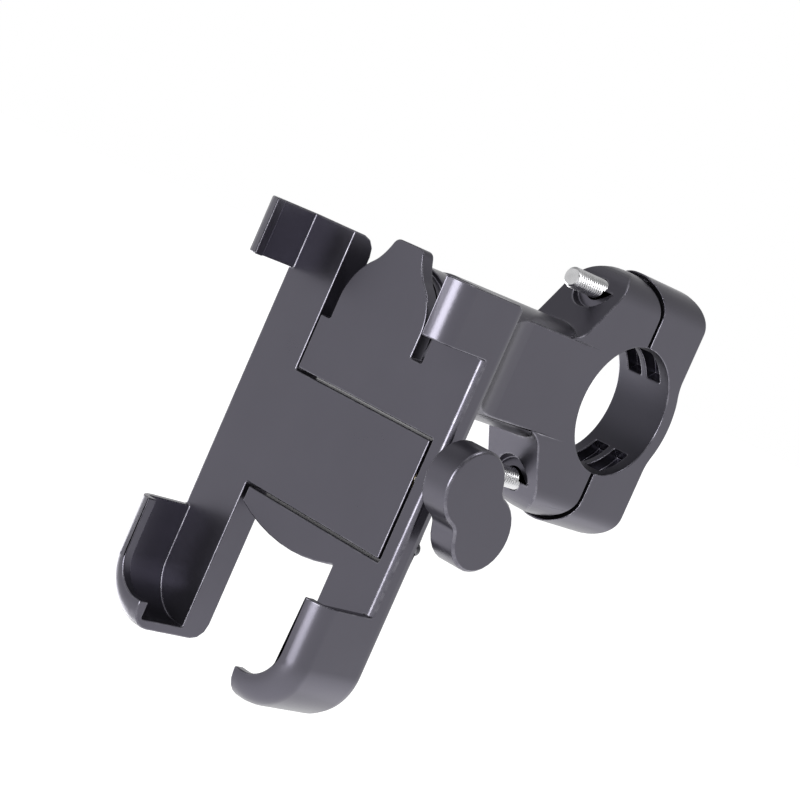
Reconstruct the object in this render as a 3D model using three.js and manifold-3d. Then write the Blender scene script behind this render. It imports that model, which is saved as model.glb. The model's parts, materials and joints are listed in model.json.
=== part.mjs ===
// A handlebar phone mount: a clamp with a round neck carries a plate that turns on it,
// and a jaw that a thumb screw drives sideways holds the phone in four hooked corners.
// Millimetres. +Z is up along the phone, +X across it towards the thumb screw, and the phone
// faces -Y. The origin is the centre of the handlebar bore, which runs along X.
import * as THREE from "three";
import { mergeVertices } from "three/addons/utils/BufferGeometryUtils.js";
import Module from "manifold-3d";

const wasm = await Module();
wasm.setup();

// Driving dimensions
const GAP = 0.3; // between pieces that touch
const RUNNING = 0.1; // radial clearance of a piece that turns or slides
const ROUND = 36; // facets on a full round
const SMALL_ROUND = 24;
const BORE_ROUND = 72;
const NECK_ROUND = 60;

const PLATE = { front: -81.6, thick: 7.5, halfWidth: 31.2, strip: 15.1, top: 14.1, bottom: -81.7 };
const PLATE_BACK = PLATE.front + PLATE.thick;
const STRIP_INNER = PLATE.halfWidth - PLATE.strip;
const BACK_ROUNDING = 4;
const CORNER = 13; // radius of the two lower corners, seen from the front

const HOOK = { height: 15, wall: 2.2, lip: 5.1, lowerLip: 6.1, lipThick: 2.5, rounding: 5 };
const CHAMFER = 0.9; // on the strips' outer front edges
const UPPER_HOOK = { low: 1.2, high: PLATE.top };
const LOWER_HOOK = { low: PLATE.bottom, high: -55.8 };

const TONGUE = { low: -44.6, high: -18.2, end: 26.6, gap: 0.6 };
const FINGER = { left: -15.7, slotFloor: -5, overlap: 2 };
const EAR = { radius: 12.8, leave: 50, waist: 6.1, waistZ: 11.4, thick: 3.6 };
const EAR_TOP = { z: 16.5, half: 4.2, rounding: 1.4 };
const LOWER_FINGER = { left: -14.9, side: 3.6, right: 4.6, sagitta: 3.6 };

const SCREW = { y: PLATE.front + PLATE.thick / 2, z: -26.8, radius: 2, tip: -13.3 };
const RODS = { upper: -21.4, lower: -40.2, radius: 1.5, tip: -27 };
const NUT = { radius: 2.9, length: 9, inset: 0.8 };
const RETAINER = { radius: 2.85, thick: 0.8, pocket: 1.4 };
const STOP_RING = { radius: 2.45, thick: 1.2, from: 0.6 };
const GROOVE = { depth: 0.5, side: 0.2, bite: 0.2 }; // ring grooves in the thumb screw
const KNOB = { face: 43.1, thick: 7.2, lobe: 8.4, waist: 7, spread: 11.2, tilt: 45.7,
  collar: 4.6, cover: 2, edge: 0.7 };
const KNOB_WASHER = { radius: 4.2, thick: 0.8 };
const ROD_HOLE = { wall: 1, grub: 2.3 }; // distances from the plate's outer side
const GRUB = { radius: 1.5, length: 1.6, key: 0.8, keyDepth: 0.7 };

const BORE = 15.9; // radius, for a 31.8 mm handlebar
const NECK = { radius: 14, start: -65.6, flatsFrom: -43, flatsEnd: -62, edge: 0.6 };
const SPOT_FACE = { radius: 5.2, y: -18 };
const CLAMP_HALF = 8.2;
const CLAMP_ROUNDING = 7.5; // of its upper and lower ends, seen along the screws
const LUG = { y: -9.6, z: 22.2, radius: 8.2, split: -1.4, footZ: 15, slope: 58.7, halfRoot: 11.3, blend: 8 };
const CAP = { split: -0.2, height: 31.4, back: 17.4, corner: 7, tip: -5.4, ring: 19.9 };
const CAP_BULGE = { half: 0.36, blend: 2 }; // half angle in radians, run-out on the flat back
const CLAMP_SCREW = { z: 24, radius: 2.5, tip: -28, seat: 11, headRadius: 4.25, head: 4.6, key: 2.3 };
const CLAMP_WASHER = { radius: 4.4, thick: 1 };
const POCKET = { depth: 3.2, wide: 4.2, rib: 1.8, from: 36, to: 73 };

const HUB = { radius: 13.6, back: -67.2, edge: 0.6 };
const FRICTION = { inner: 6, outer: 13, thick: 1 };
const PIVOT = { radius: 3, seat: -25, tip: -79.5, headRadius: 5, head: 5.6, key: 2.9, counterbore: 6.2 };
const INSERT = { radius: 4.5, from: -79.8, to: -67.6 };
const SPRING = { inner: 3.3, outer: 5.9, thick: 0.9 };
const RING_END = TONGUE.end + TONGUE.gap + RETAINER.pocket - GAP;
const FAR = 150; // beyond any piece, for cutting tools

// Materials
const finish = (color, roughness, metalness) => ({ color, roughness, metalness });
const GUNMETAL = finish(0x5d5b65, 0.34, 0.85);
const STEEL = finish(0xc8c8cc, 0.28, 1);
const DARK_STEEL = finish(0x77787c, 0.35, 1);
const BRASS = finish(0xb08d4a, 0.35, 1);
const NYLON = finish(0x2a2a2c, 0.6, 0);

// A closed geometry as a solid that can be joined and cut.
function solid(geometry) {
  const bare = geometry.index ? geometry.toNonIndexed() : geometry.clone();
  bare.deleteAttribute("normal");
  bare.deleteAttribute("uv");
  const merged = mergeVertices(bare, 1e-4);
  return new wasm.Manifold(
    new wasm.Mesh({
      numProp: 3,
      vertProperties: merged.attributes.position.array,
      triVerts: new Uint32Array(merged.index.array),
    }),
  );
}

function geometryOf(body) {
  const mesh = body.getMesh();
  const geometry = new THREE.BufferGeometry();
  geometry.setAttribute("position", new THREE.BufferAttribute(mesh.vertProperties, 3));
  geometry.setIndex(new THREE.BufferAttribute(mesh.triVerts, 1));
  geometry.computeVertexNormals();
  return geometry;
}

const join = (...bodies) => bodies.reduce((sum, body) => sum.add(body));
const cut = (body, ...tools) => tools.reduce((left, tool) => left.subtract(tool), body);

// Turns local X, Y, Z into the three given directions.
const basis = (x, y, z) =>
  new THREE.Matrix4().makeBasis(new THREE.Vector3(...x), new THREE.Vector3(...y), new THREE.Vector3(...z));

// Prisms: an outline drawn in one plane and pushed along the third axis from low to high.
// edge rounds the rims at both ends inwards.
function prism(shape, low, high, edge, steps) {
  const geometry = new THREE.ExtrudeGeometry(shape, {
    depth: high - low - 2 * edge,
    curveSegments: 9,
    bevelEnabled: edge > 0,
    bevelThickness: edge,
    bevelSize: edge,
    bevelOffset: -edge,
    bevelSegments: steps,
  });
  return geometry.translate(0, 0, low + edge);
}
// Outline in X and Z, pushed along Y.
const alongY = (shape, low, high, edge = 0, steps = 3) =>
  solid(prism(shape, -high, -low, edge, steps).applyMatrix4(basis([1, 0, 0], [0, 0, 1], [0, -1, 0])));
// Outline in Y and Z, pushed along X.
const alongX = (shape, low, high, edge = 0, steps = 3) =>
  solid(prism(shape, low, high, edge, steps).applyMatrix4(basis([0, 1, 0], [0, 0, 1], [1, 0, 0])));
// Outline in X and Y, pushed along Z.
const alongZ = (shape, low, high) => solid(prism(shape, low, high, 0, 1));

function box(x0, x1, y0, y1, z0, z1) {
  const geometry = new THREE.BoxGeometry(x1 - x0, y1 - y0, z1 - z0);
  return solid(geometry.translate((x0 + x1) / 2, (y0 + y1) / 2, (z0 + z1) / 2));
}

function rodX(radius, x0, x1, y, z, facets = ROUND) {
  const geometry = new THREE.CylinderGeometry(radius, radius, x1 - x0, facets).rotateZ(-Math.PI / 2);
  return solid(geometry.translate((x0 + x1) / 2, y, z));
}

function rodY(radius, y0, y1, x, z, facets = ROUND) {
  const geometry = new THREE.CylinderGeometry(radius, radius, y1 - y0, facets);
  return solid(geometry.translate(x, (y0 + y1) / 2, z));
}

// A turned piece on an axis along Y: the profile lists [radius, y].
function turnedY(profile, x, z, facets = ROUND) {
  const points = profile.map(([radius, y]) => new THREE.Vector2(radius, y));
  return solid(new THREE.LatheGeometry(points, facets).translate(x, 0, z));
}

// A turned piece on an axis along X: the profile lists [radius, x].
function turnedX(profile, y, z, facets = ROUND) {
  const points = profile.map(([radius, x]) => new THREE.Vector2(radius, x));
  const geometry = new THREE.LatheGeometry(points, facets);
  return solid(geometry.applyMatrix4(basis([0, 0, 1], [1, 0, 0], [0, 1, 0])).translate(0, y, z));
}

function part(name, body, look) {
  const mesh = new THREE.Mesh(geometryOf(body), new THREE.MeshStandardMaterial(look));
  mesh.name = name;
  return mesh;
}

// Outline of one side of the plate, inset from its rim, with the lower outer corner rounded.
// side is -1 on the left and 1 on the right.
function stripOutline(side, { inset = 0, lower = inset, top = PLATE.top, inner = STRIP_INNER }) {
  const outer = PLATE.halfWidth - inset;
  const low = PLATE.bottom + lower;
  const radius = CORNER - inset;
  const shape = new THREE.Shape();
  shape.moveTo(inner, low);
  shape.lineTo(outer - radius, low);
  shape.absarc(outer - radius, low + radius, radius, -Math.PI / 2, 0, false);
  shape.lineTo(outer, top);
  shape.lineTo(inner, top);
  shape.closePath();
  if (side > 0) return shape;
  return new THREE.Shape(shape.getPoints(12).map((p) => new THREE.Vector2(-p.x, p.y)).reverse());
}

// The chamfer on a strip's outer front edge, between its two hooks.
function outerChamfer(side) {
  const shape = new THREE.Shape();
  const x = side * PLATE.halfWidth;
  shape.moveTo(x + side, PLATE.front - 1);
  shape.lineTo(x + side, PLATE.front + CHAMFER + 1);
  shape.lineTo(x - side * (CHAMFER + 1), PLATE.front - 1);
  shape.closePath();
  return alongZ(shape, LOWER_HOOK.high, UPPER_HOOK.low);
}

// One side of the plate with its upper and lower hooks.
function hookedStrip(side) {
  const margin = 12;
  const wide = { inner: STRIP_INNER - margin };
  const tall = { inner: STRIP_INNER - margin, top: PLATE.top + margin };
  const hookFront = PLATE.front - HOOK.height;
  const lipBack = hookFront + HOOK.lipThick;
  const slab = cut(
    alongY(stripOutline(side, wide), PLATE.front - margin, PLATE_BACK, BACK_ROUNDING),
    box(-FAR, FAR, -FAR, PLATE.front, -FAR, FAR),
  );
  const rim = cut(
    alongY(stripOutline(side, tall), hookFront, PLATE_BACK + HOOK.rounding, HOOK.rounding, 5),
    box(-FAR, FAR, PLATE.front + 1, FAR, -FAR, FAR),
    box(-FAR, FAR, -FAR, FAR, UPPER_HOOK.high, FAR),
    box(-FAR, FAR, -FAR, FAR, LOWER_HOOK.high, UPPER_HOOK.low),
  );
  const room = alongY(stripOutline(side, { ...tall, inset: HOOK.wall }), lipBack, PLATE.front);
  const opening = { ...tall, inset: HOOK.lip, lower: HOOK.lowerLip };
  const mouth = alongY(stripOutline(side, opening), hookFront - margin, lipBack + 1);
  const middle = side > 0 ? [-FAR, STRIP_INNER] : [-STRIP_INNER, FAR];
  return cut(join(slab, rim), room, mouth, box(...middle, -FAR, FAR, -FAR, FAR), outerChamfer(side));
}

// The left half: its strip, and the tongue that slides between the plate's two fingers.
function slidingJaw() {
  const { low, high, end } = TONGUE;
  const tongue = box(-STRIP_INNER - FINGER.overlap, end, PLATE.front, PLATE_BACK, low, high);
  const nutSeat = TONGUE.end - NUT.inset - NUT.length;
  return cut(
    join(hookedStrip(-1), tongue),
    rodX(SCREW.radius + 3 * GAP, SCREW.tip - 1, FAR, SCREW.y, SCREW.z, 24),
    rodX(NUT.radius + GAP, nutSeat - GAP, FAR, SCREW.y, SCREW.z, 24),
    rodX(RODS.radius + RUNNING, RODS.tip - 1, FAR, SCREW.y, RODS.upper, 24),
    rodX(RODS.radius + RUNNING, RODS.tip - 1, FAR, SCREW.y, RODS.lower, 24),
  );
}

// The upper finger: a block with a round ear on it that narrows to a flat top.
function upperFinger() {
  const bottom = TONGUE.high + TONGUE.gap;
  const right = STRIP_INNER + FINGER.overlap;
  const block = box(FINGER.left, right, PLATE.front, PLATE_BACK, bottom, FINGER.slotFloor);
  const leave = THREE.MathUtils.degToRad(EAR.leave);
  const { radius, waist, waistZ } = EAR;
  const { z, half, rounding } = EAR_TOP;
  const shape = new THREE.Shape();
  shape.moveTo(-radius, FINGER.slotFloor - 1);
  shape.lineTo(radius, FINGER.slotFloor - 1);
  shape.absarc(0, 0, radius, 0, leave, false);
  shape.quadraticCurveTo(waist, waistZ, half + 0.5, z - rounding);
  shape.quadraticCurveTo(half, z, half - rounding, z);
  shape.lineTo(rounding - half, z);
  shape.quadraticCurveTo(-half, z, -half - 0.5, z - rounding);
  shape.quadraticCurveTo(-waist, waistZ, -radius * Math.cos(leave), radius * Math.sin(leave));
  shape.absarc(0, 0, radius, Math.PI - leave, Math.PI, false);
  shape.closePath();
  return join(block, alongY(shape, PLATE.front, PLATE.front + EAR.thick));
}

// The lower finger's free edge bows downwards.
function lowerFinger() {
  const top = TONGUE.low - TONGUE.gap;
  const { left, side, right, sagitta } = LOWER_FINGER;
  const end = STRIP_INNER + FINGER.overlap;
  const shape = new THREE.Shape();
  shape.moveTo(left, top);
  shape.lineTo(left, top - side);
  shape.quadraticCurveTo((left + end) / 2, top - side - 2 * sagitta, end, top - right);
  shape.lineTo(end, top);
  shape.closePath();
  return alongY(shape, PLATE.front, PLATE_BACK);
}

// The round hub behind the plate, which reaches up into the back of the ear.
function hub() {
  const { radius, back, edge } = HUB;
  const front = PLATE.front + 1;
  const step = PLATE_BACK - 1;
  const profile = [
    [0, front], [radius - 1, front], [radius - 1, step],
    [radius, step], [radius, back - edge], [radius - edge, back], [0, back],
  ];
  return turnedY(profile, 0, 0);
}

// The right half: its strip, both fingers and the round hub that turns on the neck.
function fixedPlate() {
  const gap = TONGUE.gap;
  const slideRoom = box(-FAR, TONGUE.end + gap, -FAR, FAR, TONGUE.low - gap, TONGUE.high + gap);
  const strip = cut(hookedStrip(1), slideRoom);
  const pocketEnd = TONGUE.end + gap + RETAINER.pocket;
  const rodHoles = [RODS.upper, RODS.lower].map((z) =>
    join(
      rodX(RODS.radius + GAP, TONGUE.end, PLATE.halfWidth - ROD_HOLE.wall, SCREW.y, z, SMALL_ROUND),
      rodY(GRUB.radius + GAP, SCREW.y, 0, PLATE.halfWidth - ROD_HOLE.grub, z, SMALL_ROUND),
    ),
  );
  return cut(
    join(strip, upperFinger(), lowerFinger(), hub()),
    rodX(SCREW.radius + RUNNING, TONGUE.end, FAR, SCREW.y, SCREW.z, SMALL_ROUND),
    rodX(RETAINER.radius + GAP, TONGUE.end, pocketEnd, SCREW.y, SCREW.z, SMALL_ROUND),
    rodY(INSERT.radius + GAP, INSERT.from - GAP, 0, 0, 0),
    ...rodHoles,
  );
}

// The thumb screw's stem, with a groove for the retaining ring and a shoulder at its far end.
function leadScrew() {
  const { radius, tip } = SCREW;
  const thin = radius - GROOVE.depth;
  const shoulder = tip + STOP_RING.from + STOP_RING.thick + GROOVE.side;
  const grooveLow = RING_END - RETAINER.thick - GROOVE.side;
  const grooveHigh = RING_END + GROOVE.side;
  const knobEnd = KNOB.face - KNOB.cover;
  const profile = [
    [0, tip], [thin, tip], [thin, shoulder], [radius, shoulder + GROOVE.depth], [radius, grooveLow],
    [thin, grooveLow], [thin, grooveHigh], [radius, grooveHigh], [radius, knobEnd], [0, knobEnd],
  ];
  return turnedX(profile, SCREW.y, SCREW.z, SMALL_ROUND);
}

function ringX(inner, outer, x0, x1, y, z) {
  return turnedX([[inner, x0], [outer, x0], [outer, x1], [inner, x1], [inner, x0]], y, z, 32);
}

function ringY(inner, outer, y0, y1, x, z) {
  return turnedY([[inner, y0], [outer, y0], [outer, y1], [inner, y1], [inner, y0]], x, z, 32);
}

// Two round lobes joined by hollow flanks that touch them and meet at the waist.
function knobOutline() {
  const { lobe, waist } = KNOB;
  const half = KNOB.spread / 2;
  const hollow = (half * half + waist * waist - lobe * lobe) / (2 * (lobe - waist));
  const reach = waist + hollow;
  const lean = Math.atan2(reach, half);
  const shape = new THREE.Shape();
  shape.absarc(half, 0, lobe, lean - Math.PI, Math.PI - lean, false);
  shape.absarc(0, reach, hollow, -lean, lean - Math.PI, true);
  shape.absarc(-half, 0, lobe, lean, -lean, false);
  shape.absarc(0, -reach, hollow, Math.PI - lean, lean, true);
  const turn = -THREE.MathUtils.degToRad(KNOB.tilt);
  return new THREE.Shape(shape.getPoints(10).map((p) => p.rotateAround(new THREE.Vector2(), turn)));
}

function thumbKnob() {
  const back = KNOB.face - KNOB.thick;
  const grip = alongX(knobOutline(), back, KNOB.face, KNOB.edge, 2).translate([0, SCREW.y, SCREW.z]);
  const seat = PLATE.halfWidth + KNOB_WASHER.thick + 2 * GAP;
  const collar = rodX(KNOB.collar, seat, back + 1, SCREW.y, SCREW.z, 32);
  const hole = rodX(SCREW.radius + GAP, 0, KNOB.face - KNOB.cover + GAP, SCREW.y, SCREW.z, SMALL_ROUND);
  return cut(join(grip, collar), hole);
}

// The clamp body's side outline, from the neck out to the round end of each lug.
function clampOutline() {
  const { y, z, radius, split, footZ, halfRoot, blend } = LUG;
  const slope = THREE.MathUtils.degToRad(LUG.slope);
  const touch = slope + Math.PI / 2;
  const lugY = y + radius * Math.cos(touch);
  const lugZ = z + radius * Math.sin(touch);
  const footY = lugY - (lugZ - footZ) / Math.tan(slope);
  const neckY = NECK.flatsFrom;
  const shape = new THREE.Shape();
  shape.moveTo(split, -z);
  shape.lineTo(split, z);
  shape.absarc(y, z, split - y, 0, touch, false);
  shape.lineTo(footY, footZ);
  shape.quadraticCurveTo(footY - blend / 4, halfRoot, footY - blend, halfRoot);
  shape.lineTo(neckY, halfRoot);
  shape.lineTo(neckY, -halfRoot);
  shape.lineTo(footY - blend, -halfRoot);
  shape.quadraticCurveTo(footY - blend / 4, -halfRoot, footY, -footZ);
  shape.lineTo(lugY, -lugZ);
  shape.absarc(y, -z, split - y, -touch, 0, false);
  return shape;
}

// Narrows the round neck to the clamp's width along an S-shaped curve.
function neckFlat(side) {
  const { radius, flatsFrom, flatsEnd } = NECK;
  const middle = (flatsFrom + flatsEnd) / 2;
  const shape = new THREE.Shape();
  shape.moveTo(CLAMP_HALF, 10);
  shape.lineTo(CLAMP_HALF, flatsFrom);
  shape.bezierCurveTo(CLAMP_HALF, middle, radius + RUNNING, middle, radius + RUNNING, flatsEnd);
  shape.lineTo(2 * radius, flatsEnd);
  shape.lineTo(2 * radius, 10);
  shape.closePath();
  const tool = alongZ(shape, -FAR, FAR);
  return side > 0 ? tool : tool.mirror([1, 0, 0]);
}

// Rounds the ends of a clamp piece that reaches up and down to the given height.
function withRoundEnds(body, height) {
  const x = CLAMP_HALF - CLAMP_ROUNDING;
  const z = height - CLAMP_ROUNDING;
  const quarter = Math.PI / 2;
  const shape = new THREE.Shape();
  shape.absarc(x, z, CLAMP_ROUNDING, 0, quarter, false);
  shape.absarc(-x, z, CLAMP_ROUNDING, quarter, 2 * quarter, false);
  shape.absarc(-x, -z, CLAMP_ROUNDING, 2 * quarter, 3 * quarter, false);
  shape.absarc(x, -z, CLAMP_ROUNDING, 3 * quarter, 4 * quarter, false);
  return body.intersect(alongY(shape, -FAR, FAR));
}

function clampBody() {
  const { radius, start, edge } = NECK;
  const inBore = -BORE - 1;
  const profile = [[0, start], [radius - edge, start], [radius, start + edge], [radius, inBore], [0, inBore]];
  const neck = turnedY(profile, 0, 0, NECK_ROUND);
  const lugs = withRoundEnds(alongX(clampOutline(), -CLAMP_HALF, CLAMP_HALF), LUG.z + LUG.radius);
  const screwHoles = [1, -1].map((side) => {
    const z = side * CLAMP_SCREW.z;
    const hole = rodY(CLAMP_SCREW.radius + RUNNING, -40, 10, 0, z, SMALL_ROUND);
    return join(hole, rodY(SPOT_FACE.radius, -40, SPOT_FACE.y, 0, z, 32));
  });
  return cut(
    join(neck, lugs),
    rodX(BORE, -20, 20, 0, 0, BORE_ROUND),
    neckFlat(1),
    neckFlat(-1),
    rodY(PIVOT.radius + GAP, start - 1, 0, 0, 0, 32),
    rodY(PIVOT.counterbore, PIVOT.seat, 0, 0, 0, 32),
    ...screwHoles,
  );
}

// The cap's side outline: it reaches round the rounded ends of the lugs.
function capOutline() {
  const { split, height, ring, back, corner, tip } = CAP;
  const { half, blend } = CAP_BULGE;
  const hug = split - LUG.y;
  const end = Math.acos((tip - LUG.y) / hug);
  const leave = ring * Math.sin(Math.acos(back / ring));
  const shape = new THREE.Shape();
  shape.moveTo(split, -LUG.z);
  shape.absarc(LUG.y, -LUG.z, hug, 0, -end, true);
  shape.lineTo(tip, -height);
  shape.lineTo(back - corner, -height);
  shape.absarc(back - corner, corner - height, corner, -Math.PI / 2, 0, false);
  shape.lineTo(back, -leave - blend);
  shape.quadraticCurveTo(back, -leave, ring * Math.cos(half), -ring * Math.sin(half));
  shape.absarc(0, 0, ring, -half, half, false);
  shape.quadraticCurveTo(back, leave, back, leave + blend);
  shape.lineTo(back, height - corner);
  shape.absarc(back - corner, height - corner, corner, 0, Math.PI / 2, false);
  shape.lineTo(tip, height);
  shape.absarc(LUG.y, LUG.z, hug, end, 0, true);
  shape.closePath();
  return shape;
}

// A recess in the cap's bore wall, beside the rib in its middle.
function capPocket(side, column) {
  const { depth, wide, rib, from, to } = POCKET;
  const [a, b] = [from, to].map(THREE.MathUtils.degToRad);
  const shape = new THREE.Shape();
  shape.absarc(0, 0, BORE - 2, a, b, false);
  shape.absarc(0, 0, BORE + depth, b, a, true);
  shape.closePath();
  const middle = (column * (wide + rib)) / 2;
  const tool = alongX(shape, middle - wide / 2, middle + wide / 2);
  return side > 0 ? tool : tool.mirror([0, 0, 1]);
}

function clampCap() {
  const holes = [1, -1].map((side) => {
    const z = side * CLAMP_SCREW.z;
    const hole = rodY(CLAMP_SCREW.radius + GAP, -12, 40, 0, z, SMALL_ROUND);
    return join(hole, rodY(CLAMP_WASHER.radius + GAP, CLAMP_SCREW.seat - GAP, 40, 0, z, 32));
  });
  const pockets = [1, -1].flatMap((side) => [1, -1].map((column) => capPocket(side, column)));
  const block = withRoundEnds(alongX(capOutline(), -CLAMP_HALF, CLAMP_HALF), CAP.height);
  return cut(block, rodX(BORE, -20, 20, 0, 0, BORE_ROUND), ...holes, ...pockets);
}

// A hexagon-socket cap screw on an axis along Y, with its head towards +Y.
function socketScrew(z, under, { radius, tip, headRadius, head, key }) {
  const point = 0.5;
  const rim = 0.4;
  const top = under + head;
  const profile = [
    [0, tip], [radius - point, tip], [radius, tip + point], [radius, under],
    [headRadius, under], [headRadius, top - rim], [headRadius - rim, top], [0, top],
  ];
  return cut(turnedY(profile, 0, z, 32), rodY(key, under + head / 2, top + 1, 0, z, 6));
}

function clampScrew(side) {
  return socketScrew(side * CLAMP_SCREW.z, CLAMP_SCREW.seat + CLAMP_WASHER.thick + GAP, CLAMP_SCREW);
}

function clampWasher(side) {
  const { seat, radius, z } = CLAMP_SCREW;
  return ringY(radius + GAP, CLAMP_WASHER.radius, seat, seat + CLAMP_WASHER.thick, 0, side * z);
}

function swivelBolt() {
  return socketScrew(0, PIVOT.seat + 2 * (SPRING.thick + GAP) + GAP, PIVOT);
}

function swivelSpring(index) {
  const from = PIVOT.seat + GAP + index * (SPRING.thick + GAP);
  return ringY(SPRING.inner, SPRING.outer, from, from + SPRING.thick, 0, 0);
}

function grubScrew(z) {
  const low = SCREW.y + RODS.radius + GAP;
  const top = low + GRUB.length;
  const x = PLATE.halfWidth - ROD_HOLE.grub;
  const body = rodY(GRUB.radius, low, top, x, z, SMALL_ROUND);
  return cut(body, rodY(GRUB.key, top - GRUB.keyDepth, top + 1, x, z, 6));
}

function guideRod(z) {
  return rodX(RODS.radius, RODS.tip, PLATE.halfWidth - ROD_HOLE.wall - GAP, SCREW.y, z, SMALL_ROUND);
}

// A ring on the thumb screw's axis that starts at x and is thick along it.
const onScrew = (inner, outer, x, thick) => ringX(inner, outer, x, x + thick, SCREW.y, SCREW.z);
const knobWasher = onScrew(SCREW.radius + GAP, KNOB_WASHER.radius, PLATE.halfWidth + GAP, KNOB_WASHER.thick);
const grooveHold = SCREW.radius - GROOVE.bite;
const retainingRing = onScrew(grooveHold, RETAINER.radius, RING_END - RETAINER.thick, RETAINER.thick);
const stopRing = onScrew(grooveHold, STOP_RING.radius, SCREW.tip + STOP_RING.from, STOP_RING.thick);
const leadNut = onScrew(SCREW.radius + RUNNING, NUT.radius, TONGUE.end - NUT.inset - NUT.length, NUT.length);
const insert = ringY(PIVOT.radius + RUNNING, INSERT.radius, INSERT.from, INSERT.to, 0, 0);
const frictionFrom = HUB.back + GAP;
const frictionRing = ringY(FRICTION.inner, FRICTION.outer, frictionFrom, frictionFrom + FRICTION.thick, 0, 0);

const mount = new THREE.Group();
mount.add(
  part("fixed_plate", fixedPlate(), GUNMETAL),
  part("sliding_jaw", slidingJaw(), GUNMETAL),
  part("lead_screw", leadScrew(), STEEL),
  part("thumb_knob", thumbKnob(), GUNMETAL),
  part("knob_washer", knobWasher, NYLON),
  part("retaining_ring", retainingRing, DARK_STEEL),
  part("screw_stop_ring", stopRing, DARK_STEEL),
  part("lead_nut", leadNut, BRASS),
  part("guide_rod_upper", guideRod(RODS.upper), STEEL),
  part("guide_rod_lower", guideRod(RODS.lower), STEEL),
  part("rod_grub_screw_upper", grubScrew(RODS.upper), DARK_STEEL),
  part("rod_grub_screw_lower", grubScrew(RODS.lower), DARK_STEEL),
  part("swivel_insert", insert, DARK_STEEL),
  part("friction_ring", frictionRing, NYLON),
  part("clamp_body", clampBody(), GUNMETAL),
  part("swivel_bolt", swivelBolt(), DARK_STEEL),
  part("swivel_spring_inner", swivelSpring(0), DARK_STEEL),
  part("swivel_spring_outer", swivelSpring(1), DARK_STEEL),
  part("clamp_cap", clampCap(), GUNMETAL),
  part("clamp_washer_upper", clampWasher(1), STEEL),
  part("clamp_washer_lower", clampWasher(-1), STEEL),
  part("clamp_screw_upper", clampScrew(1), STEEL),
  part("clamp_screw_lower", clampScrew(-1), STEEL),
);

export default mount;
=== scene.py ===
"""A handlebar phone mount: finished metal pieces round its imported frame, in a plain studio."""

import json
import math

import bmesh
import bpy
from mathutils import Matrix, Vector

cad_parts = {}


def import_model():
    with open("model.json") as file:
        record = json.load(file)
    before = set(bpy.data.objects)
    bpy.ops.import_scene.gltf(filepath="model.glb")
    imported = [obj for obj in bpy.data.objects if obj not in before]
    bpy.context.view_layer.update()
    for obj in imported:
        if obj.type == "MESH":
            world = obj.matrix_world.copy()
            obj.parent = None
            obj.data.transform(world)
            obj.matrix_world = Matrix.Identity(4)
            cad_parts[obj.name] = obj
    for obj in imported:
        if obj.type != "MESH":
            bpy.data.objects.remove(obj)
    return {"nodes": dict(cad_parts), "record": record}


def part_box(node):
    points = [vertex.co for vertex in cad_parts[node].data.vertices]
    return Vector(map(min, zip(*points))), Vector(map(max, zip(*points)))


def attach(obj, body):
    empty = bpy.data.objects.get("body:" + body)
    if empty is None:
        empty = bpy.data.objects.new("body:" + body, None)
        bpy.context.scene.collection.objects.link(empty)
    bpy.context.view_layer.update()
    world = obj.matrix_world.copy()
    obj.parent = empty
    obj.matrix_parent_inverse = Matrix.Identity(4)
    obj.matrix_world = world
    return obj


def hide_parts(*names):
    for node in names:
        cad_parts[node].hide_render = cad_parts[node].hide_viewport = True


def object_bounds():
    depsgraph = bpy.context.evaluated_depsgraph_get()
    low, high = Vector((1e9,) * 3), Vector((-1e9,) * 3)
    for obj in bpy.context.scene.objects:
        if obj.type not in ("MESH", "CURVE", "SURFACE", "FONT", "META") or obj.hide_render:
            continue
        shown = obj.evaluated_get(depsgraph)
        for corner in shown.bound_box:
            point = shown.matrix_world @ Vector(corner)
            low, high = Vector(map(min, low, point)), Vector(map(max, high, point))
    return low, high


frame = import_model()
cad_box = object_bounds()
NODES = frame["nodes"]
BODY_OF = {node: body for body, nodes in frame["record"]["behaviour"]["bodies"].items() for node in nodes}
SLOT_OF = {row["node"]: row["material_slot"] for row in frame["record"]["subparts"]}
MM = 0.001


# ---------------------------------------------------------------- materials

BUMP_DEPTH = 0.1 * MM
CAST_GRAIN = 0.05
TURNING_GRAIN = 0.08
MOULD_GRAIN = 0.25
MIX_FACTOR, MIX_A, MIX_B, MIX_COLOR = 0, 6, 7, 2  # a Mix node's sockets for colours
WHITE = (1.0, 1.0, 1.0, 1.0)


def new_material(name):
    """An empty node material and its shader, with a helper that adds nodes."""
    material = bpy.data.materials.new(name)
    material.use_nodes = True
    nodes = material.node_tree.nodes
    shader = nodes["Principled BSDF"]
    links = material.node_tree.links

    def add(kind, inputs=None, **settings):
        node = nodes.new(kind)
        for key, value in settings.items():
            setattr(node, key, value)
        for key, value in (inputs or {}).items():
            if isinstance(value, bpy.types.NodeSocket):
                links.new(value, node.inputs[key])
            else:
                node.inputs[key].default_value = value
        return node

    return material, shader, add, links


def noise(add, place, scale, detail, roughness):
    """A noise value over the piece's own coordinates."""
    settings = {"Vector": place, "Scale": scale, "Detail": detail, "Roughness": roughness}
    return add("ShaderNodeTexNoise", settings).outputs["Fac"]


def ramp(add, factor, low, high, dark, light):
    """Maps factor from low..high to dark..light, each one number."""
    return add(
        "ShaderNodeMapRange",
        {"Value": factor, "From Min": low, "From Max": high, "To Min": dark, "To Max": light},
    ).outputs["Result"]


def shaded(add, color, shade):
    """A colour made lighter or darker by shade."""
    return add("ShaderNodeVectorMath", {0: color, "Scale": shade}, operation="SCALE").outputs["Vector"]


def bumped(add, height, strength):
    """A surface normal disturbed by height."""
    settings = {"Height": height, "Strength": strength, "Distance": BUMP_DEPTH}
    return add("ShaderNodeBump", settings).outputs["Normal"]


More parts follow.
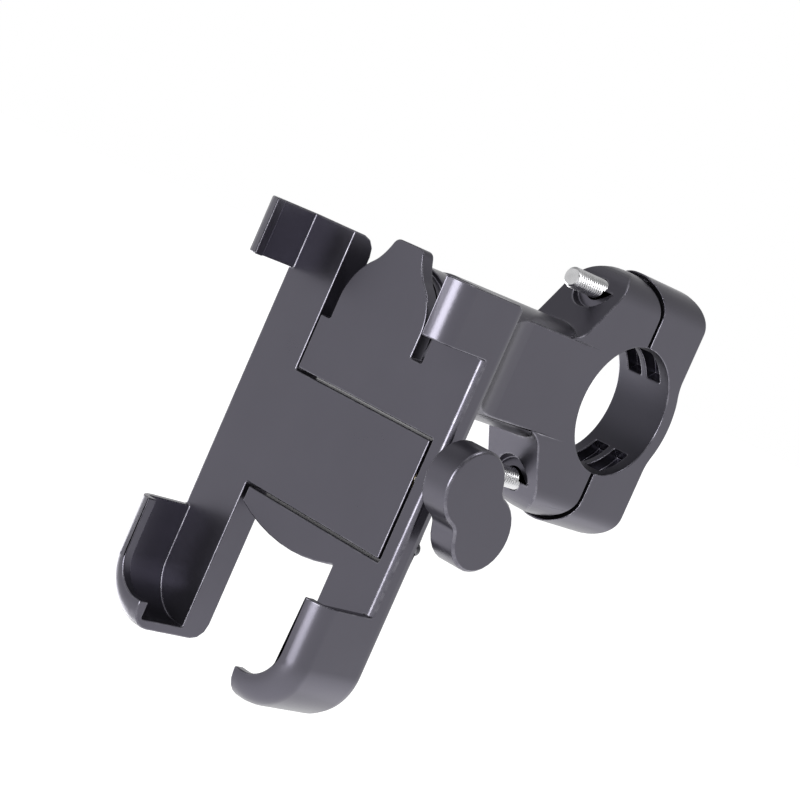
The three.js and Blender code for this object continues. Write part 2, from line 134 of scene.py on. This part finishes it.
def metal_paint(name, color, metallic, rough, edge_highlight=None):
    """Satin metal with a fine cast grain and soft changes of gloss. Its optional lighter second colour is
    a painted highlight, laid on in patches.
    """
    material, shader, add, links = new_material(name)
    place = add("ShaderNodeTexCoord").outputs["Object"]
    cloud = noise(add, place, scale=55.0, detail=4.0, roughness=0.6)
    fine = noise(add, place, scale=2600.0, detail=2.0, roughness=0.55)
    tint = shaded(add, color, ramp(add, cloud, 0.3, 0.7, 0.975, 1.025))
    # painted highlight: patches of a lighter colour, for the rounded edges
    if edge_highlight:
        highlight_noise = noise(add, place, scale=420.0, detail=5.0, roughness=0.7)
        highlight_patches = ramp(add, highlight_noise, 0.42, 0.66, 0.0, 1.0)
        colors = {MIX_FACTOR: highlight_patches, MIX_A: tint, MIX_B: (*edge_highlight, 1.0)}
        tint = add("ShaderNodeMix", colors, data_type="RGBA").outputs[MIX_COLOR]
    gloss = ramp(add, cloud, 0.3, 0.7, rough - 0.012, rough + 0.012)
    speck = ramp(add, fine, 0.35, 0.65, -0.015, 0.015)
    uneven = add("ShaderNodeMath", {0: gloss, 1: speck}, operation="ADD").outputs[0]
    links.new(tint, shader.inputs["Base Color"])
    links.new(uneven, shader.inputs["Roughness"])
    links.new(bumped(add, fine, CAST_GRAIN), shader.inputs["Normal"])
    shader.inputs["Metallic"].default_value = metallic
    return material


def turned_metal(name, color, rough, rings):
    """Bare or plated metal with fine turning marks and faint smudges."""
    material, shader, add, links = new_material(name)
    place = add("ShaderNodeTexCoord").outputs["Object"]
    smudge = noise(add, place, scale=320.0, detail=4.0, roughness=0.65)
    marks = noise(add, place, scale=rings, detail=3.0, roughness=0.6)
    gloss = ramp(add, smudge, 0.3, 0.7, rough - 0.06, rough + 0.08)
    tint = shaded(add, color, ramp(add, smudge, 0.3, 0.7, 0.86, 1.08))
    links.new(tint, shader.inputs["Base Color"])
    links.new(gloss, shader.inputs["Roughness"])
    links.new(bumped(add, marks, TURNING_GRAIN), shader.inputs["Normal"])
    shader.inputs["Metallic"].default_value = 1.0
    return material


def moulded_nylon(name, color, rough):
    """Matt moulded plastic with a fine spark-eroded texture."""
    material, shader, add, links = new_material(name)
    place = add("ShaderNodeTexCoord").outputs["Object"]
    fine = noise(add, place, scale=3200.0, detail=3.0, roughness=0.6)
    broad = noise(add, place, scale=240.0, detail=3.0, roughness=0.5)
    gloss = ramp(add, fine, 0.3, 0.7, rough - 0.06, rough + 0.08)
    tint = shaded(add, color, ramp(add, broad, 0.3, 0.7, 0.8, 1.25))
    links.new(tint, shader.inputs["Base Color"])
    links.new(gloss, shader.inputs["Roughness"])
    links.new(bumped(add, fine, MOULD_GRAIN), shader.inputs["Normal"])
    return material


GUNMETAL = (0.105, 0.101, 0.122)
# a lighter gunmetal painted on the rounded edges as a highlight
GUNMETAL_EDGE_HIGHLIGHT = (0.17, 0.165, 0.19)
GUNMETAL_DARK = (0.062, 0.06, 0.074)
STEEL = (0.56, 0.56, 0.57)
BLACK_STEEL = (0.09, 0.09, 0.10)
MATERIALS = {
    "gunmetal": metal_paint("gunmetal", GUNMETAL, metallic=0.97, rough=0.3),
    "bright_steel": turned_metal("bright_steel", STEEL, rough=0.24, rings=900.0),
    "dark_steel": turned_metal("dark_steel", BLACK_STEEL, rough=0.36, rings=1200.0),
    "brass": turned_metal("brass", (0.62, 0.45, 0.19), rough=0.3, rings=1000.0),
    "nylon": moulded_nylon("nylon", (0.022, 0.022, 0.024), rough=0.55),
    "bore": metal_paint("bore", GUNMETAL_DARK, metallic=0.97, rough=0.42),
}
# Lighter copies of each finish for the rounded edges: a painted highlight.
EDGE_HIGHLIGHTS = {
    "gunmetal": metal_paint("gunmetal_edge_highlight", GUNMETAL, metallic=0.97, rough=0.27, edge_highlight=GUNMETAL_EDGE_HIGHLIGHT),
    "bright_steel": turned_metal("bright_steel_edge_highlight", (0.86, 0.86, 0.86), rough=0.2, rings=900.0),
    "dark_steel": turned_metal("dark_steel_edge_highlight", (0.2, 0.2, 0.21), rough=0.3, rings=1200.0),
    "brass": turned_metal("brass_edge_highlight", (0.7, 0.53, 0.25), rough=0.26, rings=1000.0),
    "nylon": moulded_nylon("nylon_edge_highlight", (0.03, 0.03, 0.032), rough=0.5),
}


# ---------------------------------------------------------------- mesh helpers

EDGE_WIDTH = 0.35 * MM
EDGE_SEGMENTS = 3
# the rounded edges' lighter material, a painted highlight
EDGE_HIGHLIGHT_MATERIAL = 1  # each piece's second material
BORE_MATERIAL = 2
EDGE_ANGLE = math.radians(28.0)  # sharper edges than this are rounded
FLAT_ANGLE = math.radians(0.4)  # faces this close to one plane are merged
WELD = 1e-6
NORMAL_WEIGHT = 90
BORE = 15.9 * MM
BORE_WITHIN = 0.2 * MM
BORE_TILT = 0.1


def object_of(name, mesh_edit, node):
    """A new piece standing for a CAD node, riding on that node's body with its slot and materials."""
    mesh = bpy.data.meshes.new(name)
    mesh_edit.to_mesh(mesh)
    mesh_edit.free()
    piece = bpy.data.objects.new(name, mesh)
    bpy.context.scene.collection.objects.link(piece)
    mesh.materials.append(MATERIALS[SLOT_OF[node]])
    # the second material is the lighter edge copy, a painted highlight
    mesh.materials.append(EDGE_HIGHLIGHTS[SLOT_OF[node]])
    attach(piece, BODY_OF[node])
    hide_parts(node)
    return piece


def apply_modifiers(piece):
    """Leaves only the finished mesh on a piece."""
    depsgraph = bpy.context.evaluated_depsgraph_get()
    finished = bpy.data.meshes.new_from_object(
        piece.evaluated_get(depsgraph), preserve_all_data_layers=True, depsgraph=depsgraph
    )
    piece.modifiers.clear()
    piece.data = finished


def soften(piece):
    """Rounds a piece's edges and gives its surfaces smooth normals."""
    bevel = piece.modifiers.new("edges", "BEVEL")
    bevel.width = EDGE_WIDTH
    bevel.segments = EDGE_SEGMENTS
    bevel.limit_method = "ANGLE"
    bevel.angle_limit = EDGE_ANGLE
    bevel.use_clamp_overlap = False
    # the rounded edges take the lighter copy of the finish, a painted highlight
    bevel.material = EDGE_HIGHLIGHT_MATERIAL
    bevel.miter_outer = "MITER_ARC"
    for polygon in piece.data.polygons:
        polygon.use_smooth = True
    normals = piece.modifiers.new("normals", "WEIGHTED_NORMAL")
    normals.keep_sharp = True
    normals.weight = NORMAL_WEIGHT
    apply_modifiers(piece)


def machined(node):
    """A CAD node's solid with its flats merged and its edges rounded."""
    edit = bmesh.new()
    edit.from_mesh(NODES[node].data)
    bmesh.ops.remove_doubles(edit, verts=edit.verts, dist=WELD)
    bmesh.ops.dissolve_limit(
        edit, angle_limit=FLAT_ANGLE, verts=edit.verts, edges=edit.edges, delimit=set()
    )
    piece = object_of(node + "_finished", edit, node)
    soften(piece)
    return piece


def matt_bore(piece):
    """Gives the handlebar bore's walls a darker, duller gunmetal."""
    piece.data.materials.append(MATERIALS["bore"])
    for polygon in piece.data.polygons:
        reach = math.hypot(polygon.center.y, polygon.center.z)
        if abs(reach - BORE) < BORE_WITHIN and abs(polygon.normal.x) < BORE_TILT:
            polygon.material_index = BORE_MATERIAL


# ---------------------------------------------------------------- screws

FROM_Z = {"X": Matrix.Rotation(math.pi / 2, 4, "Y"), "Y": Matrix.Rotation(-math.pi / 2, 4, "X")}
THREAD_COUNT = 48  # points round a thread
TURNED_COUNT = 64  # points round a shank and a head
HEX_COUNT = 6
THREAD_ROWS = 8  # points along each turn
THREAD_DEPTH = 0.55  # of the pitch
TIP_CHAMFER = 1.4  # of the thread's depth
ROOT_WIDTH = 1.25  # more than 1 flattens the roots
THREAD_WELD = 1e-7
CREASE = math.radians(35.0)
CORE_CLEARANCE = 0.05 * MM  # the core stays inside the thread's roots
RUN_OUT = (-0.1 * MM, 0.4 * MM)  # from the core to the full shank, about the thread's end
LIP = 0.25 * MM
FILLET = 0.2 * MM
M5 = {"radius": 2.5 * MM, "pitch": 0.8 * MM}
M4 = {"radius": 2.0 * MM, "pitch": 0.7 * MM}
CLAMP_HEAD = 4.6 * MM  # its height
CLAMP_KEY = 2.3 * MM  # from the socket's middle to its corners
CLAMP_THREAD_END = -2.0 * MM
LEAD_THREAD_END = 26.8 * MM


def turned(edit, profile, count):
    """Adds a closed turned body about Z. The profile lists (radius, height) from axis to axis."""
    rows = []
    for radius, height in profile:
        if radius == 0:
            rows.append([edit.verts.new((0, 0, height))] * count)
            continue
        steps = (2 * math.pi * i / count for i in range(count))
        rows.append([edit.verts.new((radius * math.cos(a), radius * math.sin(a), height)) for a in steps])
    for low, high in zip(rows, rows[1:]):
        for i in range(count):
            j = (i + 1) % count
            corners = dict.fromkeys((low[i], low[j], high[j], high[i]))
            if len(corners) > 2:
                edit.faces.new(list(corners))


def thread_radius(row, height, ends, radius, depth):
    """How far out a thread's surface is, with a chamfer at the low end and the root at the high end."""
    low, high = ends
    if height >= high:
        return radius - depth
    wave = 0.5 - 0.5 * math.cos(2 * math.pi * row / THREAD_ROWS)
    out = radius - depth * min(1.0, ROOT_WIDTH * wave)
    return min(out, radius - TIP_CHAMFER * depth + (height - low))


def helix(edit, ends, radius, pitch, depth):
    """Adds a closed rod about Z with a rolled thread between the two ends."""
    low, high = ends
    rows = (math.ceil((high - low) / pitch) + 3) * THREAD_ROWS + 1
    columns = []
    for i in range(THREAD_COUNT):
        angle = 2 * math.pi * i / THREAD_COUNT
        column = []
        for row in range(rows):
            height = low + (row / THREAD_ROWS + i / THREAD_COUNT - 1) * pitch
            height = min(max(height, low), high)
            out = thread_radius(row, height, ends, radius, depth)
            column.append(edit.verts.new((out * math.cos(angle), out * math.sin(angle), height)))
        columns.append(column)
    for i in range(THREAD_COUNT):
        skip = THREAD_ROWS if i == THREAD_COUNT - 1 else 0
        here, there = columns[i], columns[(i + 1) % THREAD_COUNT]
        for row in range(rows - 1 - skip):
            edit.faces.new((here[row], there[row + skip], there[row + skip + 1], here[row + 1]))
    bmesh.ops.remove_doubles(edit, verts=edit.verts, dist=THREAD_WELD)
    bmesh.ops.dissolve_degenerate(edit, edges=edit.edges, dist=THREAD_WELD)
    rim = [edge for edge in edit.edges if edge.is_boundary]
    bmesh.ops.holes_fill(edit, edges=rim, sides=0)


def shell(build, *sizes):
    """A mesh made by one of the builders above."""
    edit = bmesh.new()
    build(edit, *sizes)
    bmesh.ops.recalc_face_normals(edit, faces=edit.faces)
    mesh = bpy.data.meshes.new("shell")
    edit.to_mesh(mesh)
    edit.free()
    return mesh


def combine(first, second, operation):
    """The two meshes joined or cut by a boolean."""
    holder = bpy.data.objects.new("first", first)
    tool = bpy.data.objects.new("second", second)
    for item in (holder, tool):
        bpy.context.scene.collection.objects.link(item)
    cutter = holder.modifiers.new("combine", "BOOLEAN")
    cutter.operation = operation
    cutter.solver = "EXACT"
    cutter.object = tool
    depsgraph = bpy.context.evaluated_depsgraph_get()
    result = bpy.data.meshes.new_from_object(holder.evaluated_get(depsgraph), depsgraph=depsgraph)
    for item in (holder, tool):
        bpy.data.objects.remove(item)
    return result


def shank(radius, thread_end, pitch, depth):
    """The profile of a screw's core inside its thread's last turn, and its run-out to the full shank."""
    start = thread_end - pitch
    core = radius - depth - CORE_CLEARANCE
    near, far = (thread_end + step for step in RUN_OUT)
    return [(0, start), (core, start), (core, near), (radius, far)]


def cap_head(radius, outer, under, top):
    """The profile of a cap screw's head from the shank to the middle of its top."""
    return [
        (radius, under - FILLET), (radius + FILLET, under),
        (outer - LIP, under), (outer, under + LIP),
        (outer, top - 2 * LIP), (outer - 0.3 * LIP, top - 0.8 * LIP),
        (outer - 1.2 * LIP, top), (0, top),
    ]


def hex_socket(key, head, top):
    """The profile of the hole for a hexagon key, for a body with six sides."""
    return [
        (0, top - 0.55 * head), (key, top - 0.5 * head), (key, top - 0.2 * LIP),
        (key + LIP, top + LIP), (0, top + LIP),
    ]


def threaded_screw(node, axis, thread, thread_end, head=0.0, key=0.0):
    """A screw with a real thread from its low end to thread_end. Its high end may have a socket head."""
    low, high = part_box(node)
    along = "XYZ".index(axis)
    across = (along + 1) % 3
    tip, top = low[along], high[along]
    radius, pitch = thread["radius"], thread["pitch"]
    depth = THREAD_DEPTH * pitch
    rod = shell(helix, (tip, thread_end), radius, pitch, depth)
    profile = shank(radius, thread_end, pitch, depth)
    if head:
        profile += cap_head(radius, (high[across] - low[across]) / 2, top - head, top)
    else:
        profile += [(radius, top), (0, top)]
    body = combine(rod, shell(turned, profile, TURNED_COUNT), "UNION")
    if key:
        body = combine(body, shell(turned, hex_socket(key, head, top), HEX_COUNT), "DIFFERENCE")
    edit = bmesh.new()
    edit.from_mesh(body)
    bmesh.ops.transform(edit, matrix=FROM_Z[axis], verts=edit.verts)
    offset = (low + high) / 2
    offset[along] = 0.0
    bmesh.ops.translate(edit, vec=offset, verts=edit.verts)
    mesh = object_of(node + "_threaded", edit, node).data
    mesh.polygons.foreach_set("use_smooth", [True] * len(mesh.polygons))
    mesh.set_sharp_from_angle(angle=CREASE)


CLAMP_SCREWS = ("clamp_screw_upper", "clamp_screw_lower")
for node in CLAMP_SCREWS:
    threaded_screw(node, "Y", M5, CLAMP_THREAD_END, head=CLAMP_HEAD, key=CLAMP_KEY)
threaded_screw("lead_screw", "X", M4, LEAD_THREAD_END)
PIECES = {node: machined(node) for node in NODES if node not in (*CLAMP_SCREWS, "lead_screw")}
matt_bore(PIECES["clamp_body"])
matt_bore(PIECES["clamp_cap"])


# ---------------------------------------------------------------- studio

EYE = Vector((0.32235, -0.4308, 0.0204))
LOOK = Vector((-0.6590, 0.7484, -0.0731))
UP = Vector((-0.347, -0.216, 0.912))
LENS = 102.06
SENSOR = 36.0
FLOOR_HALF = 6.0
FLOOR_DROP = 0.12  # below the mount
FLOOR_GREY = (0.8, 0.8, 0.8, 1.0)
FLOOR_ROUGHNESS = 0.9
FLOOR_GLOW = 0.6
CLIP = (0.01, 50.0)
# The studio's brightness against height, from 0 straight down to 1 straight up.
STUDIO_BANDS = (
    (0.0, 1.7), (0.2, 1.45), (0.36, 1.0), (0.45, 1.0),
    (0.56, 1.0), (0.68, 0.75), (0.85, 0.35), (1.0, 1.0),
)


def camera():
    """The camera looks at the mount from its right, tilted about its own line of sight."""
    right = LOOK.cross(UP).normalized()
    up = right.cross(LOOK).normalized()
    turn = Matrix((right, up, -LOOK.normalized())).transposed().to_4x4()
    data = bpy.data.cameras.new("camera")
    data.sensor_width = SENSOR
    data.lens = LENS
    data.clip_start, data.clip_end = CLIP
    shot = bpy.data.objects.new("camera", data)
    shot.matrix_world = Matrix.Translation(EYE) @ turn
    bpy.context.scene.collection.objects.link(shot)
    bpy.context.scene.camera = shot


def softbox(name, place, aim, size, power):
    """A soft rectangular light at place that faces aim."""
    data = bpy.data.lights.new(name, "AREA")
    data.shape = "RECTANGLE"
    data.size, data.size_y = size
    data.energy = power
    lamp = bpy.data.objects.new(name, data)
    lamp.location = place
    direction = (Vector(aim) - Vector(place)).normalized()
    lamp.rotation_euler = direction.to_track_quat("-Z", "Y").to_euler()
    bpy.context.scene.collection.objects.link(lamp)


def world():
    """White behind the mount. What lights it is brightest from below, and dimmest well above eye level."""
    studio = bpy.data.worlds.new("studio")
    studio.use_nodes = True
    nodes, links = studio.node_tree.nodes, studio.node_tree.links
    split = nodes.new("ShaderNodeSeparateXYZ")
    links.new(nodes.new("ShaderNodeTexCoord").outputs["Generated"], split.inputs["Vector"])
    height = nodes.new("ShaderNodeMapRange")
    height.inputs["From Min"].default_value = -1.0
    links.new(split.outputs["Z"], height.inputs["Value"])
    bands = nodes.new("ShaderNodeValToRGB")
    stops = bands.color_ramp.elements  # a new ramp already has its two end stops
    for place, _ in STUDIO_BANDS[1:-1]:
        stops.new(place)
    for stop, (_, level) in zip(stops, STUDIO_BANDS):
        stop.color = (level, level, level, 1.0)
    links.new(height.outputs["Result"], bands.inputs["Fac"])
    mix = nodes.new("ShaderNodeMix")
    mix.data_type = "RGBA"
    links.new(nodes.new("ShaderNodeLightPath").outputs["Is Camera Ray"], mix.inputs[MIX_FACTOR])
    links.new(bands.outputs["Color"], mix.inputs[MIX_A])
    mix.inputs[MIX_B].default_value = WHITE
    links.new(mix.outputs[MIX_COLOR], nodes["Background"].inputs["Color"])
    bpy.context.scene.world = studio


def floor():
    """A wide pale floor well below the mount, which the metal doesn't mirror."""
    edit = bmesh.new()
    level = cad_box[0][2] - FLOOR_DROP
    corners = ((-1, -1), (1, -1), (1, 1), (-1, 1))
    edit.faces.new([edit.verts.new((x * FLOOR_HALF, y * FLOOR_HALF, level)) for x, y in corners])
    mesh = bpy.data.meshes.new("floor")
    edit.to_mesh(mesh)
    edit.free()
    ground = bpy.data.objects.new("floor", mesh)
    bpy.context.scene.collection.objects.link(ground)
    ground.visible_glossy = False
    ground.visible_diffuse = False
    material, shader, _, _ = new_material("pale_floor")
    shader.inputs["Base Color"].default_value = FLOOR_GREY
    shader.inputs["Roughness"].default_value = FLOOR_ROUGHNESS
    shader.inputs["Emission Color"].default_value = WHITE
    shader.inputs["Emission Strength"].default_value = FLOOR_GLOW
    mesh.materials.append(material)


camera()
world()
floor()
softbox("front", (0.27, -0.81, 0.06), (0, -0.05, -0.03), (0.5, 0.5), 7.0)
softbox("left", (-0.75, 0.05, -0.4), (0, -0.08, -0.06), (0.5, 0.5), 3.0)
softbox("top", (0.36, 0.12, 0.7), (0, -0.02, 0.02), (0.22, 0.22), 0.8)
softbox("low", (0.13, 0.13, -0.2), (0.02, -0.09, -0.08), (0.24, 0.12), 0.05)
scene = bpy.context.scene
scene.view_settings.view_transform = "Standard"
scene.cycles.use_denoising = True
